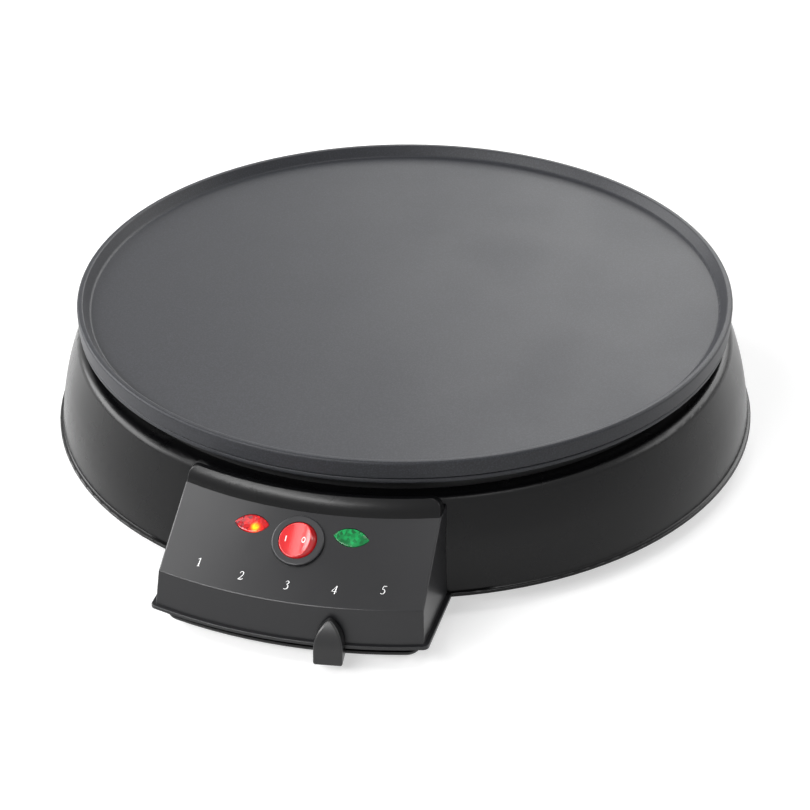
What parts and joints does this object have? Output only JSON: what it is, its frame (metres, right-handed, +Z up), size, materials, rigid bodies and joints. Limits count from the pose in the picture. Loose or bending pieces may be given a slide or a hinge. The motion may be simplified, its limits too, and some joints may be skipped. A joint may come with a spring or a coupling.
{
  "type": "electric crepe maker",
  "caption": "Round tabletop electric crepe maker: dark non-stick hotplate with a raised rim on a black housing with a sloping control panel, rocker switch and temperature lever.",
  "frame": {"origin": "on the table, under the vertical axis of the round hotplate", "axes": "+Z up; the control box points along -Y; +X to the right for someone who faces the control panel"},
  "size_m": [0.3354, 0.3802, 0.0725],
  "materials": {
    "black_gloss_plastic": "glossy black moulding, satin on the control panel",
    "black_matte_plastic": "matte black moulding",
    "nonstick_aluminium": "cast aluminium with a dark grey non-stick coating",
    "black_steel": "pressed steel sheet, matte black heat-proof paint",
    "element_steel": "steel sheath, dulled by heat",
    "ceramic": "unglazed steatite",
    "zinc_steel": "zinc plated",
    "brass": "bare brass",
    "lever_plastic": "satin black moulding",
    "switch_plastic": "satin black moulding",
    "red_rocker_plastic": "translucent glossy red",
    "red_lens_plastic": "translucent red, lit from behind",
    "green_lens_plastic": "translucent green",
    "white_plastic": "white moulding",
    "rubber": "black",
    "lamp_glass": "clear glow-lamp envelope"
  },
  "bodies": {
    "base": {"bottom_cover": "black_matte_plastic", "bracket_screw_1": "zinc_steel", "bracket_screw_2": "zinc_steel", "cord_gland": "black_matte_plastic", "cover_screw_1": "zinc_steel", "cover_screw_2": "zinc_steel", "cover_screw_3": "zinc_steel", "cover_screw_4": "zinc_steel", "cover_screw_5": "zinc_steel", "cover_screw_6": "zinc_steel", "earth_tab": "brass", "foot_1": "rubber", "foot_2": "rubber", "foot_3": "rubber", "foot_4": "rubber", "fuse_clip": "zinc_steel", "heat_shield": "black_steel", "heating_element": "element_steel", "hotplate": "nonstick_aluminium", "housing": "black_gloss_plastic", "plate_screw_1": "zinc_steel", "plate_screw_2": "zinc_steel", "plate_screw_3": "zinc_steel", "plate_screw_4": "zinc_steel", "power_lamp": "lamp_glass", "power_lamp_holder": "white_plastic", "power_lens": "red_lens_plastic", "ready_lamp": "lamp_glass", "ready_lamp_holder": "white_plastic", "ready_lens": "green_lens_plastic", "shield_screw_1": "zinc_steel", "shield_screw_2": "zinc_steel", "shield_screw_3": "zinc_steel", "shield_screw_4": "zinc_steel", "switch_body": "switch_plastic", "switch_terminals": "brass", "terminal_block": "white_plastic", "thermal_fuse": "ceramic", "thermostat": "ceramic", "thermostat_bracket": "zinc_steel"},
    "lever": {"temperature_lever": "lever_plastic", "thermostat_shaft": "brass", "lever_set_screw": "zinc_steel"},
    "rocker": {"power_rocker": "red_rocker_plastic"}
  },
  "joints": [
    {"name": "temperature_turn", "type": "hinge", "parent": "base", "child": "lever", "pos_m": [0, -0.0416, 0.02], "axis": [0, 0, 1], "range_deg": [-23.5, 8.5]},
    {"name": "power_rock", "type": "hinge", "parent": "base", "child": "rocker", "pos_m": [0, -0.17668, 0.04104], "axis": [0, 0.8251, 0.565], "range_deg": [0, 20]}
  ]
}
